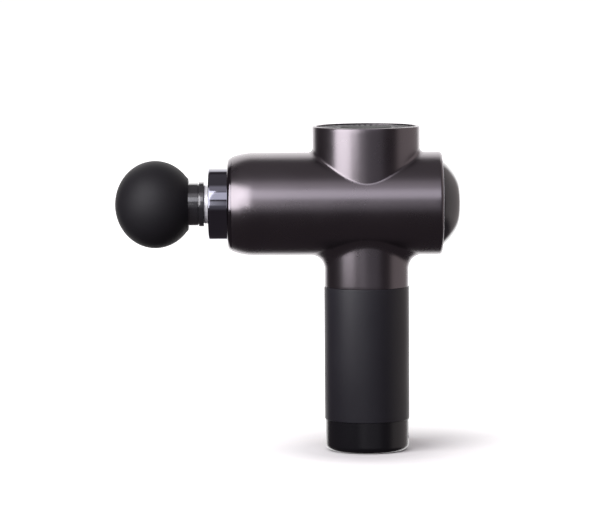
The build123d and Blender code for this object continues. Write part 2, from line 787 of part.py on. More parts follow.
# ---------------------------------------------------------------- handle and battery

# Aluminium tube from the base up into the neck: the handle's backbone and the battery's case.
tube_bottom_z = 13.9

with BuildPart() as handle_tube:
    z_ring(tube_bottom_z, neck_recess_z - fit, tube_r, tube_bore_r)
save(handle_tube, "handle_tube")

with BuildPart() as grip_sleeve:
    z_ring(grip_bottom_z + fit, grip_top_z - fit, grip_r, tube_r + fit)
    fillet(grip_sleeve.edges().filter_by(GeomType.CIRCLE).sort_by(SortBy.LENGTH)[-2:], 0.4)
save(grip_sleeve, "grip_sleeve")

cell_r = 9.2
cell_ring_r = 10.75
cell_bottom_z = 22.2
cell_top_z = 87.2
cell_angles = (90, 210, 330)
cell_centres = [polar(cell_ring_r, angle) for angle in cell_angles]
holder_r = tube_bore_r - 0.1
pocket_r = cell_r + 0.15

# Three cells, each with a raised button at its top end.
with BuildPart() as battery_cells:
    with BuildSketch(Plane.XY.offset(cell_bottom_z)):
        with Locations(*cell_centres):
            Circle(cell_r)
    extrude(amount=cell_top_z - 1.0 - cell_bottom_z)
    fillet(battery_cells.edges().filter_by(GeomType.CIRCLE), 0.5)
    with BuildSketch(Plane.XY.offset(cell_top_z - 1.0)):
        with Locations(*cell_centres):
            Circle(3.2)
    extrude(amount=1.0)
save(battery_cells, "battery_cells")

holder_screw_r = 15.0
base_screw_centres = [polar(holder_screw_r, angle) for angle in (60, 180, 300)]
base_boss_top_z = 12.0

with BuildPart() as lower_cell_holder:
    z_disc(base_boss_top_z + fit, 27.0, holder_r)
    with BuildSketch(Plane.XY.offset(cell_bottom_z - 0.4)):
        with Locations(*cell_centres):
            Circle(pocket_r)
        with PolarLocations(cell_ring_r / 2, 3, start_angle=90):
            Rectangle(cell_ring_r + 1, 7.4)
    extrude(amount=27.0 - cell_bottom_z + 0.4, mode=Mode.SUBTRACT)
    with BuildSketch(Plane.XY.offset(base_boss_top_z)):
        with Locations(*base_screw_centres):
            Circle(screw_r)
    extrude(amount=7.0, mode=Mode.SUBTRACT)
save(lower_cell_holder, "lower_cell_holder")

with BuildPart() as upper_cell_holder:
    z_disc(82.0, 89.6, holder_r)
    with BuildSketch(Plane.XY.offset(82.0)):
        with Locations(*cell_centres):
            Circle(pocket_r)
    extrude(amount=cell_top_z - 0.9 - 82.0, mode=Mode.SUBTRACT)
    with BuildSketch(Plane.XY.offset(82.0)):
        with Locations(*cell_centres):
            Circle(3.8)
    extrude(amount=7.6, mode=Mode.SUBTRACT)
save(upper_cell_holder, "upper_cell_holder")

# Welded strips that join the cells, one under them and two above.
strip_thickness = 0.3

with BuildPart() as nickel_strips:
    with BuildSketch(Plane.XY.offset(cell_bottom_z - strip_thickness - fit)):
        with PolarLocations(cell_ring_r / 2, 3, start_angle=90):
            Rectangle(cell_ring_r, 7.0)
    extrude(amount=strip_thickness)
    with BuildSketch(Plane.XY.offset(cell_top_z + 0.02)):
        with Locations(*cell_centres):
            Circle(3.6)
    extrude(amount=strip_thickness)
save(nickel_strips, "nickel_strips")

battery_board_z = 89.7

with BuildPart() as battery_board:
    z_disc(battery_board_z, battery_board_z + board_thickness, holder_r - 0.6)
save(battery_board, "battery_board")

with BuildPart() as protection_chips:
    with BuildSketch(Plane.XY.offset(battery_board_z + board_thickness)):
        with Locations((-9.0, -6.0), (-9.0, 0.0), (-9.0, 6.0)):
            Rectangle(6.0, 4.4)
        with Locations((2.0, -8.0)):
            Rectangle(5.0, 5.0)
    extrude(amount=1.2)
save(protection_chips, "protection_chips")

# Two insulated wires from the battery's board up through the neck to the controller.
lead_r = 1.1
lead_start_z = battery_board_z + board_thickness
lead_bend_r = 12.0

with BuildPart() as battery_leads:
    for y in (-3.0, 3.0):
        with BuildLine() as lead_route:
            FilletPolyline((9.0, y, lead_start_z), (9.0, y, 112.0), (20.0, y, 128.0),
                           (controller_x, y, 128.0), radius=lead_bend_r)
        with BuildSketch(Plane.XY.offset(lead_start_z)):
            with Locations((9.0, y)):
                Circle(lead_r)
        sweep(path=lead_route.wire())
save(battery_leads, "battery_leads")


# ---------------------------------------------------------------- base

base_bottom_z = 0.3
base_floor_z = 3.0
base_edge_r = 3.5
base_bore_r = 21.5
pad_r = 20.0
pad_top_z = 1.3
boss_r = 4.0
head_r = 2.5
socket_z = 8.2
socket_size = (9.0, 3.3)
socket_front_x = 16.6
socket_rear_x = 23.7

with BuildPart() as base_cap:
    z_disc(base_bottom_z, grip_bottom_z, base_r)
    fillet(base_cap.edges().group_by(Axis.Z)[0], base_edge_r)
    z_disc(base_bottom_z, pad_top_z, pad_r + fit, mode=Mode.SUBTRACT)
    z_disc(base_floor_z, grip_bottom_z, base_bore_r, mode=Mode.SUBTRACT)
    z_disc(tube_bottom_z - fit, grip_bottom_z, tube_r + fit, mode=Mode.SUBTRACT)
    for centre in base_screw_centres:
        z_disc(base_floor_z, base_boss_top_z, boss_r, centre=centre)
        z_disc(pad_top_z, base_boss_top_z, screw_r + 0.1, mode=Mode.SUBTRACT, centre=centre)
        z_disc(pad_top_z, pad_top_z + 2.5, head_r + 0.1, mode=Mode.SUBTRACT, centre=centre)
    # Window for the charging socket, in the back of the base.
    with BuildSketch(Plane(origin=(base_bore_r - 1, 0, socket_z), x_dir=(0, 1, 0), z_dir=(1, 0, 0))):
        SlotOverall(socket_size[0] + 0.2, socket_size[1] + 0.2)
    extrude(amount=4.0, mode=Mode.SUBTRACT)
save(base_cap, "base_cap")

with BuildPart() as base_screws:
    for centre in base_screw_centres:
        z_disc(pad_top_z + 0.4, pad_top_z + 2.4, head_r, centre=centre)
        z_disc(pad_top_z + 2.4, 18.0, screw_r, centre=centre)
        with BuildSketch(Plane.XY.offset(pad_top_z + 0.4)):
            with Locations(centre):
                RegularPolygon(1.2, 6)
        extrude(amount=1.2, mode=Mode.SUBTRACT)
save(base_screws, "base_screws")

with BuildPart() as foot_pad:
    z_disc(0, pad_top_z, pad_r)
    fillet(foot_pad.edges().group_by(Axis.Z)[0], 0.2)
save(foot_pad, "foot_pad")

with BuildPart() as charge_board:
    z_box(16.0, 16.0, 4.9, 6.5, centre=(11.4, 0))
save(charge_board, "charge_board")

# Charging socket: a metal shell with its contact tongue.
with BuildPart() as charge_socket:
    socket_plane = Plane(origin=(socket_front_x, 0, socket_z), x_dir=(0, 1, 0), z_dir=(1, 0, 0))
    with BuildSketch(socket_plane):
        SlotOverall(*socket_size)
        SlotOverall(socket_size[0] - 0.6, socket_size[1] - 0.6, mode=Mode.SUBTRACT)
    extrude(amount=socket_rear_x - socket_front_x)
    with BuildSketch(socket_plane):
        SlotOverall(*socket_size)
    extrude(amount=0.6)
    with BuildSketch(socket_plane):
        Rectangle(6.6, 0.7)
    extrude(amount=5.6)
save(charge_socket, "charge_socket")
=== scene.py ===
import json
import math

import bmesh
import bpy
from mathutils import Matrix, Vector


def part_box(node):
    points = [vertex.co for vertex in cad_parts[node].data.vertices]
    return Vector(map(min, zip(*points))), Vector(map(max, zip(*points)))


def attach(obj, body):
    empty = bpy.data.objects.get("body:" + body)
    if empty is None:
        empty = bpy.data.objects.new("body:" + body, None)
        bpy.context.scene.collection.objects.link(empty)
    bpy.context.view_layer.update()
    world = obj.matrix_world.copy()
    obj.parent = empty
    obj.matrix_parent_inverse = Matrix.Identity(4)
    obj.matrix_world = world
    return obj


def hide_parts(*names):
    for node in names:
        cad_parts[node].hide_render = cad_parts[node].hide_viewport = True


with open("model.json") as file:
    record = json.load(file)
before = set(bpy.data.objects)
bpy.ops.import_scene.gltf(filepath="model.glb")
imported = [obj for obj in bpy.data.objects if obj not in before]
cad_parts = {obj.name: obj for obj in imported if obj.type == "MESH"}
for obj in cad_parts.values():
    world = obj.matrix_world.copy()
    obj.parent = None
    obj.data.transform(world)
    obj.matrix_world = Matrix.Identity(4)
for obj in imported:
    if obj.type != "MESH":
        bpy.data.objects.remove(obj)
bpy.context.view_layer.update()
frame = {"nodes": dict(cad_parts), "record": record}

# Massage gun: looks. Metres, in the part's own frame: the handle stands on the Z axis, and the
# head points along -X. The visible round pieces are smooth, finely divided meshes that stand for
# their CAD nodes. Their outer sizes come from the CAD boxes, and the rest are the CAD's own.

MM = 0.001


# ---------------------------------------------------------------- places, from the frame

def low(node):
    """The lowest corner of a CAD node's box."""
    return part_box(node)[0]


def high(node):
    """The highest corner of a CAD node's box."""
    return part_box(node)[1]


def middle(node):
    """The middle of a CAD node's box."""
    return (low(node) + high(node)) / 2


AXIS_Z = middle("piston").z


# ---------------------------------------------------------------- mesh tools

def new_object(name, mesh):
    """Links a mesh as an object of the scene."""
    piece = bpy.data.objects.new(name, mesh)
    bpy.context.scene.collection.objects.link(piece)
    return piece


def rounded(corners, steps=6):
    """An outline whose corners are rounded: corners are (along, radius, rounding) in metres."""
    outline = []
    for i, (along, out, rounding) in enumerate(corners):
        here = Vector((along, out))
        if rounding <= 0 or i in (0, len(corners) - 1):
            outline.append((along, out))
            continue
        back = Vector(corners[i - 1][:2]) - here
        ahead = Vector(corners[i + 1][:2]) - here
        turn = back.angle(ahead)
        reach = rounding / math.tan(turn / 2)
        reach = min(reach, 0.49 * back.length, 0.49 * ahead.length)
        start = here + back.normalized() * reach
        end = here + ahead.normalized() * reach
        for step in range(steps + 1):
            share = step / steps
            point = start.lerp(here, share).lerp(here.lerp(end, share), share)
            outline.append((point.x, point.y))
    return outline


def turned(name, outline, axis, segments=192):
    """A solid of revolution. outline is (along, radius) points; an end at radius 0 closes it."""
    mesh = bpy.data.meshes.new(name)
    bm = bmesh.new()
    rings = []
    for along, radius in outline:
        ring = []
        count = 1 if radius < 1e-9 else segments
        for i in range(count):
            turn = 2 * math.pi * i / segments
            across = radius * math.cos(turn)
            up = radius * math.sin(turn)
            if axis == "x":
                ring.append(bm.verts.new((along, across, AXIS_Z + up)))
            else:
                ring.append(bm.verts.new((across, up, along)))
        rings.append(ring)
    for first, second in zip(rings, rings[1:]):
        for i in range(segments):
            corners = [first[i % len(first)], first[(i + 1) % len(first)],
                       second[(i + 1) % len(second)], second[i % len(second)]]
            corners = list(dict.fromkeys(corners))
            if len(corners) > 2:
                bm.faces.new(corners)
    bmesh.ops.recalc_face_normals(bm, faces=bm.faces)
    bm.to_mesh(mesh)
    bm.free()
    mesh.shade_smooth()
    return new_object(name, mesh)


def smooth_by_angle(piece, degrees=35):
    """Smooth shading with crisp edges where faces meet at a sharp angle."""
    piece.data.shade_smooth()
    piece.data.set_sharp_from_angle(angle=math.radians(degrees))


def finish_piece(piece, body, slot, material, *nodes):
    """Puts a piece on its body, with its finish, in place of its CAD nodes."""
    piece.data.materials.clear()
    piece.data.materials.append(material)
    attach(piece, body)
    if nodes:
        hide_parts(*nodes)
    return piece


# ---------------------------------------------------------------- material tools

BROAD_WAVES = 35.0      # waves per metre of the slow changes of colour and gloss


def new_material(name):
    """An empty node material: the material, its tree and its Principled shader."""
    material = bpy.data.materials.new(name)
    material.use_nodes = True
    tree = material.node_tree
    shader = tree.nodes["Principled BSDF"]
    return material, tree, shader


def node(tree, kind, **inputs):
    """Adds a node and sets its inputs by name."""
    made = tree.nodes.new(kind)
    for key, value in inputs.items():
        made.inputs[key.replace("_", " ")].default_value = value
    return made


def noise(tree, scale, detail):
    """Noise in object space, with scale in waves per metre."""
    place = tree.nodes.new("ShaderNodeTexCoord")
    made = node(tree, "ShaderNodeTexNoise", Scale=scale, Detail=detail, Roughness=0.5)
    tree.links.new(place.outputs["Object"], made.inputs["Vector"])
    return made.outputs["Fac"]


def between(tree, factor, low_value, high_value, from_low=0.3, from_high=0.7):
    """A number that follows factor from one value to another."""
    made = node(tree, "ShaderNodeMapRange", From_Min=from_low, From_Max=from_high,
                To_Min=low_value, To_Max=high_value)
    tree.links.new(factor, made.inputs["Value"])
    return made.outputs["Result"]


def mixed(tree, factor, first, second):
    """A colour between two colours."""
    made = tree.nodes.new("ShaderNodeMix")
    made.data_type = "RGBA"
    made.inputs[6].default_value = (*first, 1)
    made.inputs[7].default_value = (*second, 1)
    tree.links.new(factor, made.inputs[0])
    return made.outputs[2]


def bumped(tree, shader, height, strength, distance):
    """Drives the shader's normal from a height."""
    bump = node(tree, "ShaderNodeBump", Strength=strength, Distance=distance)
    tree.links.new(height, bump.inputs["Height"])
    tree.links.new(bump.outputs["Normal"], shader.inputs["Normal"])


def plain_finish(name, colour, roughness, metallic=0.0, grain=900.0, grain_depth=0.00001,
                 colour_spread=0.12, roughness_spread=0.08, specular=0.5, coat=0.0):
    """A moulded or machined finish with grain, and slight changes of colour and gloss."""
    material, tree, shader = new_material(name)
    broad = noise(tree, BROAD_WAVES, detail=4.0)
    fine = noise(tree, grain, detail=2.0)
    lighter = tuple(min(1.0, c * (1 + colour_spread)) for c in colour)
    darker = tuple(c * (1 - colour_spread) for c in colour)
    tree.links.new(mixed(tree, broad, darker, lighter), shader.inputs["Base Color"])
    tree.links.new(between(tree, broad, roughness - roughness_spread / 2,
                           roughness + roughness_spread / 2), shader.inputs["Roughness"])
    shader.inputs["Metallic"].default_value = metallic
    shader.inputs["Specular IOR Level"].default_value = specular
    shader.inputs["Coat Weight"].default_value = coat
    shader.inputs["Coat Roughness"].default_value = 0.05
    bumped(tree, shader, fine, 0.4, grain_depth)
    return material


# ---------------------------------------------------------------- materials

GUNMETAL = plain_finish("gunmetal", (0.155, 0.140, 0.150), 0.28, metallic=1.0, grain=2600.0,
                        grain_depth=0.0000012, colour_spread=0.05, roughness_spread=0.04)
BEZEL = plain_finish("dark_bezel", (0.12, 0.11, 0.12), 0.14, metallic=1.0, grain=1500.0,
                     grain_depth=0.000002, roughness_spread=0.03)
COLLAR_BLACK = plain_finish("collar_black", (0.17, 0.17, 0.20), 0.05, metallic=1.0, grain=300.0,
                            grain_depth=0.000001, roughness_spread=0.02)
PISTON_METAL = plain_finish("piston_metal", (0.80, 0.80, 0.81), 0.32, metallic=0.35)
STEM_BLACK = plain_finish("stem_black", (0.012, 0.012, 0.014), 0.19, specular=1.0, coat=0.5)
BALL_RUBBER = plain_finish("ball_rubber", (0.0078, 0.0072, 0.0088), 0.60, grain=1800.0,
                           grain_depth=0.00003, specular=0.22)
GRIP_RUBBER = plain_finish("grip_rubber", (0.0130, 0.0122, 0.0162), 0.44, grain=2600.0,
                           grain_depth=0.00002, specular=0.40)
BASE_BLACK = plain_finish("base_black", (0.0062, 0.0060, 0.0075), 0.24, grain=2200.0,
                          grain_depth=0.000004, specular=0.42)
GLOSS_BLACK = plain_finish("gloss_black", (0.010, 0.010, 0.011), 0.10)
VENT_BLACK = plain_finish("vent_black", (0.012, 0.012, 0.013), 0.62, grain=1500.0, specular=0.10)
VENT_GREY = plain_finish("vent_grey", (0.075, 0.074, 0.077), 0.50, grain=1500.0, specular=0.20)
SATIN_BLACK = plain_finish("satin_black", (0.020, 0.020, 0.022), 0.38, grain=1500.0)
RUBBER = plain_finish("rubber", (0.018, 0.018, 0.018), 0.7, grain=1400.0, grain_depth=0.00003)
DOME = plain_finish("smoked_dome", (0.030, 0.030, 0.033), 0.16, grain=400.0,
                    grain_depth=0.000002, coat=0.6)
LIGHT_RING = plain_finish("light_ring", (0.62, 0.62, 0.64), 0.25)
STEEL = plain_finish("steel", (0.50, 0.50, 0.51), 0.26, metallic=1.0, grain=1200.0)
ALUMINIUM = plain_finish("aluminium", (0.68, 0.68, 0.70), 0.30, metallic=1.0, grain=1600.0)
BRONZE = plain_finish("bronze", (0.55, 0.36, 0.17), 0.30, metallic=1.0)
LAMINATION = plain_finish("lamination", (0.22, 0.22, 0.23), 0.42, metallic=1.0, grain=2500.0)
COPPER = plain_finish("copper", (0.72, 0.30, 0.14), 0.28, metallic=1.0, grain=2200.0,
                      grain_depth=0.00006)
MAGNET = plain_finish("magnet", (0.28, 0.28, 0.29), 0.33, metallic=0.9)
BEARING_PLASTIC = plain_finish("bearing_plastic", (0.78, 0.77, 0.72), 0.45)
BOARD_GREEN = plain_finish("circuit_board", (0.010, 0.11, 0.045), 0.35, grain=700.0,
                           colour_spread=0.25)
LED_WHITE = plain_finish("led", (0.86, 0.86, 0.80), 0.22)
CAPACITOR = plain_finish("capacitor", (0.035, 0.035, 0.07), 0.33)
CELL_WRAP = plain_finish("cell_wrap", (0.03, 0.22, 0.40), 0.36)
WIRE = plain_finish("wire", (0.42, 0.02, 0.02), 0.42)

SLOT_MATERIALS = {
    "gunmetal": GUNMETAL, "dark_bezel": BEZEL, "steel": STEEL, "gloss_black": GLOSS_BLACK,
    "aluminium": ALUMINIUM, "piston_metal": PISTON_METAL, "bearing_plastic": BEARING_PLASTIC,
    "rubber": RUBBER, "grip_rubber": GRIP_RUBBER, "ball_rubber": BALL_RUBBER,
    "lamination": LAMINATION, "copper": COPPER, "magnet": MAGNET, "bronze": BRONZE,
    "satin_black": SATIN_BLACK, "base_black": BASE_BLACK, "stem_black": STEM_BLACK,
    "light_ring": LIGHT_RING, "smoked_dome": DOME, "circuit_board": BOARD_GREEN,
    "led": LED_WHITE, "capacitor": CAPACITOR, "cell_wrap": CELL_WRAP, "wire": WIRE,
}

# The vent's two pieces are duller than the rest of their slots.
VENT_MATERIALS = {"top_grille": VENT_GREY, "grille_cap": VENT_BLACK}


def dress_cad_nodes():
    """Gives every CAD node its material, by its slot in the record."""
    for row in frame["record"]["subparts"]:
        piece = frame["nodes"][row["node"]]
        piece.data.materials.clear()
        material = SLOT_MATERIALS[row["material_slot"]]
        piece.data.materials.append(VENT_MATERIALS.get(row["node"], material))
        smooth_by_angle(piece, 30)


# ---------------------------------------------------------------- the gunmetal shells

BARREL_HALF_WIDTH = high("barrel_housing").y
BARREL_HALF_HEIGHT = 29.4 * MM
BARREL_WALL = 2.2 * MM
BARREL_FRONT = low("barrel_housing").x
BARREL_REAR = high("barrel_housing").x
CROWN_X = -64.0 * MM
CROWN_RADIUS = 34.7 * MM
REAR_HOLE_R = 22.5 * MM
MOTOR_BORE_R = 28.5 * MM
MOTOR_HOUSING_R = 30.7 * MM
NECK_BORE_R = 21.6 * MM
NECK_R = 24.05 * MM


def crown(x):
    """How much the barrel has narrowed at x, in front of its straight length."""
    return (CROWN_X - x) ** 2 / (2 * CROWN_RADIUS) if x < CROWN_X else 0.0


def grid(name, rows, keep=None):
    """A smooth mesh from rows of points, each row a closed ring; keep chooses faces by centre."""
    count = len(rows[0])
    points = [point for row in rows for point in row]
    faces = []
    for r in range(len(rows) - 1):
        for i in range(count):
            ahead = (i + 1) % count
            corners = (r * count + i, r * count + ahead, (r + 1) * count + ahead,
                       (r + 1) * count + i)
            if keep is not None:
                centre = sum((Vector(points[c]) for c in corners), Vector()) / 4
                if not keep(centre):
                    continue
            faces.append(corners)
    mesh = bpy.data.meshes.new(name)
    mesh.from_pydata(points, [], faces)
    bm = bmesh.new()
    bm.from_mesh(mesh)
    loose = [v for v in bm.verts if not v.link_faces]
    bmesh.ops.delete(bm, geom=loose, context="VERTS")
    bmesh.ops.recalc_face_normals(bm, faces=bm.faces)
    bm.to_mesh(mesh)
    bm.free()
    piece = new_object(name, mesh)
    smooth_by_angle(piece, 40)
    return piece


def oval_ring(x, half_width, half_height, segments=288):
    """A ring of points around the barrel's axis."""
    ring = []
    for i in range(segments):
        turn = 2 * math.pi * i / segments
        ring.append((x, half_width * math.cos(turn), AXIS_Z + half_height * math.sin(turn)))
    return ring


def barrel_ring(x, inset):
    """A ring of the barrel's own section, made smaller by inset."""
    return oval_ring(x, BARREL_HALF_WIDTH - inset, BARREL_HALF_HEIGHT - inset)


def outside_bores(centre):
    """False over the motor's bore in the barrel's top, and over the handle's in its underside."""
    across = math.hypot(centre.x, centre.y)
    if centre.z > AXIS_Z:
        return across > MOTOR_BORE_R + 1.0 * MM
    return across > NECK_BORE_R + 1.2 * MM


def make_barrel():
    """The barrel: an oval tube with a crowned front, a rounded rear edge and a rear wall."""
    edge = 2.0 * MM
    rear_wall = 2.5 * MM
    rows = [barrel_ring(BARREL_FRONT + 3.0 * MM, crown(BARREL_FRONT) + BARREL_WALL),
            barrel_ring(BARREL_FRONT, crown(BARREL_FRONT) + BARREL_WALL)]
    steps = 14
    for i in range(steps + 1):
        x = BARREL_FRONT + (CROWN_X - BARREL_FRONT) * i / steps
        rows.append(barrel_ring(x, crown(x)))
    straight = 78
    last = BARREL_REAR - edge
    for i in range(1, straight + 1):
        rows.append(barrel_ring(CROWN_X + (last - CROWN_X) * i / straight, 0.0))
    for i in range(1, 9):
        turn = math.pi / 2 * i / 8
        rows.append(barrel_ring(last + edge * math.sin(turn), edge * (1 - math.cos(turn))))
    rows.append(oval_ring(BARREL_REAR, REAR_HOLE_R + 0.3 * MM, REAR_HOLE_R + 0.3 * MM))
    rows.append(oval_ring(BARREL_REAR - 0.3 * MM, REAR_HOLE_R, REAR_HOLE_R))
    rows.append(oval_ring(BARREL_REAR - rear_wall, REAR_HOLE_R, REAR_HOLE_R))
    rows.append(barrel_ring(BARREL_REAR - rear_wall, BARREL_WALL))
    rows.append(barrel_ring(CROWN_X, BARREL_WALL))
    shell = grid("barrel_shell", rows, outside_bores)
    return finish_piece(shell, "housing", "gunmetal", GUNMETAL, "barrel_housing")


def barrel_depth(out, turn):
    """Half height of the barrel at a distance out from the handle's axis, towards turn."""
    across = min(abs(out * math.sin(turn)) / BARREL_HALF_WIDTH, 0.9999)
    return BARREL_HALF_HEIGHT * math.sqrt(1 - across * across)


def seam_arc(radius, rounding, turn, steps):
    """The blend between a round wall and the barrel in one upright plane: (out, depth) points."""
    centre_out = radius + rounding
    reach = min(centre_out + rounding, BARREL_HALF_WIDTH / max(abs(math.sin(turn)), 1e-6))
    outs = [radius + (reach - radius) * i / 400 for i in range(401)]
    curve = [(out, barrel_depth(out, turn)) for out in outs]

    def nearest(depth):
        return min(curve, key=lambda point: math.hypot(point[0] - centre_out, point[1] - depth))

    near, far = curve[-1][1], BARREL_HALF_HEIGHT + 2 * rounding
    for _ in range(30):
        depth = (near + far) / 2
        touch = nearest(depth)
        gap = math.hypot(touch[0] - centre_out, touch[1] - depth)
        if gap < rounding:
            near = depth
        else:
            far = depth
    start = math.atan2(touch[1] - depth, touch[0] - centre_out)
    end = -math.pi
    points = []
    for i in range(steps + 1):
        angle = start + (end - start) * i / steps
        points.append((centre_out + rounding * math.cos(angle),
                       depth + rounding * math.sin(angle)))
    return points


def saddle_shell(name, radius, bore, far, rounding, side, rim, segments=256):
    """A round shell that stands on the barrel with a blended seam. side is 1 above, -1 below;
    far is the height of its free end, measured from the barrel's axis."""
    rows = None
    for i in range(segments):
        turn = 2 * math.pi * i / segments
        blend = seam_arc(radius, rounding, turn, 12)
        first = blend[0]
        line = [(first[0], first[1] - 0.5 * MM)] + blend
        seam = blend[-1][1]
        for step in range(1, 13):
            line.append((radius, seam + (far - rim - seam) * step / 12))
        for step in range(1, 7):
            angle = math.pi / 2 * step / 6
            line.append((radius - rim * (1 - math.cos(angle)), far - rim * (1 - math.sin(angle))))
        line.append((bore + 0.3 * MM, far))
        line.append((bore, far - 0.3 * MM))
        line.append((bore, barrel_depth(bore, turn) - BARREL_WALL))
        if rows is None:
            rows = [[] for _ in line]
        for row, (out, depth) in zip(rows, line):
            row.append((out * math.cos(turn), out * math.sin(turn), AXIS_Z + side * depth))
    return grid(name, rows)


def make_motor_shell():
    """The round motor housing on top of the barrel."""
    shell = saddle_shell("motor_shell", MOTOR_HOUSING_R, MOTOR_BORE_R,
                         high("motor_housing").z - AXIS_Z, 2.6 * MM, 1, 0.8 * MM)
    return finish_piece(shell, "housing", "gunmetal", GUNMETAL, "motor_housing")


def make_neck_shell():
    """The neck, which flares into the barrel's underside."""
    shell = saddle_shell("neck_shell", NECK_R, NECK_BORE_R, AXIS_Z - low("handle_neck").z,
                         8.0 * MM, -1, 0.15 * MM)
    return finish_piece(shell, "housing", "gunmetal", GUNMETAL, "handle_neck")


# ---------------------------------------------------------------- pieces along the barrel's axis

STEM_R = 12.35 * MM


def make_nose():
    """The dark bezel: it carries the barrel's crown on to a rounded front edge."""
    front, back = low("nose_ring").x, BARREL_FRONT
    edge = 1.5 * MM
    inner = high("front_collar").z - AXIS_Z + 0.05 * MM
    groove = 0.18 * MM
    rows = [barrel_ring(back + 2.0 * MM, crown(back) + 2 * groove),
            barrel_ring(back + groove, crown(back) + 2 * groove),
            barrel_ring(back, crown(back) + groove / 2)]
    for i in range(1, 7):
        x = back + (front + edge - back) * i / 6
        rows.append(barrel_ring(x, crown(x)))
    for i in range(1, 9):
        turn = math.pi / 2 * i / 8
        inset = crown(front + edge * (1 - math.sin(turn))) + edge * (1 - math.cos(turn))
        rows.append(barrel_ring(front + edge * (1 - math.sin(turn)), inset))
    rows.append(oval_ring(front, inner + 0.4 * MM, inner + 0.4 * MM))
    rows.append(oval_ring(front + 0.4 * MM, inner, inner))
    rows.append(oval_ring(high("nose_ring").x, inner, inner))
    nose = grid("nose_bezel", rows)
    return finish_piece(nose, "housing", "dark_bezel", BEZEL, "nose_ring")


def make_collar():
    """The gloss collar, with a rounded front edge and a lip around the piston."""
    front, back = low("front_collar").x, high("front_collar").x
    radius = high("front_collar").z - AXIS_Z
    mouth = 11.6 * MM
    corners = [(back, radius, 0), (front, radius, 1.1 * MM), (front, mouth, 0.3 * MM),
               (front + 1.8 * MM, mouth, 0)]
    collar = turned("collar_shell", rounded(corners, 8), "x")
    smooth_by_angle(collar, 40)
    return finish_piece(collar, "housing", "gloss_black", COLLAR_BLACK, "front_collar")


def make_stem():
    """The head's stem: a stepped neck, a flange and the shank behind it."""
    rear, front = high("head_stem").x, low("head_stem").x
    flange = high("head_stem").z - AXIS_Z
    neck = STEM_R
    nose = neck - 2.5 * MM
    shoulder = front + 5.0 * MM
    shank = 7.5 * MM
    flange_front, flange_rear = -95.8 * MM, -92.85 * MM
    groove = 0.35 * MM
    corners = [(front, 0.0, 0), (front, nose, 0.4 * MM), (shoulder, nose, 0),
               (shoulder, neck, 0),
               (flange_front - 0.5 * MM, neck, 0.1 * MM),
               (flange_front - 0.5 * MM, neck - 0.5 * MM, 0),
               (flange_front, neck - 0.5 * MM, 0),
               (flange_front, flange, groove), (flange_rear, flange, groove),
               (flange_rear, shank, 0.2 * MM), (rear - 0.8 * MM, shank, 0.1 * MM),
               (rear, shank - 0.8 * MM, 0.1 * MM), (rear, 0.0, 0)]
    stem = turned("head_stem_shell", rounded(corners, 6), "x")
    smooth_by_angle(stem, 40)
    return finish_piece(stem, "head", "stem_black", STEM_BLACK, "head_stem")


def make_ball():
    """The rubber ball: an egg-shaped skin with a rounded rim around the stem."""
    tip, back = low("ball_skin").x, high("ball_skin").x
    radius = high("ball_skin").z - AXIS_Z
    depth = 23.05 * MM
    centre = tip + depth
    rim = 1.3 * MM
    cut = math.acos((back - rim - centre) / depth)
    outline = [(tip, 0.0)]
    steps = 96
    for i in range(1, steps + 1):
        turn = math.pi + (cut - math.pi) * i / steps
        outline.append((centre + depth * math.cos(turn), radius * math.sin(turn)))
    along, out = outline[-1]
    corner = [(along, out, 0), (back, out - rim, 0.9 * rim),
              (back, STEM_R + 0.6 * MM, 0.4 * MM), (back - 1.5 * MM, STEM_R, 0)]
    outline += rounded(corner, 8)[1:]
    ball = turned("massage_ball", outline, "x")
    finish_piece(ball, "head", "ball_rubber", BALL_RUBBER, "ball_skin")
    return ball


# ---------------------------------------------------------------- handle

def make_grip():
    """The rubber sleeve of the handle, with eased edges."""
    bottom, top = low("grip_sleeve").z, high("grip_sleeve").z
    radius = high("grip_sleeve").x
    inner = 22.7 * MM
    corners = [(bottom, inner, 0), (bottom, radius, 0.5 * MM), (top, radius, 0.5 * MM),
               (top, inner, 0)]
    outline = rounded(corners, 6)
    grip = turned("grip_shell", outline + [outline[0]], "z")
    smooth_by_angle(grip, 40)
    return finish_piece(grip, "housing", "grip_rubber", GRIP_RUBBER, "grip_sleeve")


# ---------------------------------------------------------------- stage, lights and camera

def window(tree, value, start, end, soft):
    """1 where value is between start and end, with soft edges."""
    rise = node(tree, "ShaderNodeMapRange", From_Min=start - soft, From_Max=start + soft)
    rise.interpolation_type = "SMOOTHSTEP"
    fall = node(tree, "ShaderNodeMapRange", From_Min=end - soft, From_Max=end + soft,
                To_Min=1.0, To_Max=0.0)
    fall.interpolation_type = "SMOOTHSTEP"
    tree.links.new(value, rise.inputs["Value"])
    tree.links.new(value, fall.inputs["Value"])
    return product(tree, rise.outputs["Result"], fall.outputs["Result"])


def product(tree, first, second):
    """Two numbers multiplied."""
    made = tree.nodes.new("ShaderNodeMath")
    made.operation = "MULTIPLY"
    for slot_index, value in enumerate((first, second)):
        if isinstance(value, (int, float)):
            made.inputs[slot_index].default_value = value
        else:
            tree.links.new(value, made.inputs[slot_index])
    return made.outputs[0]


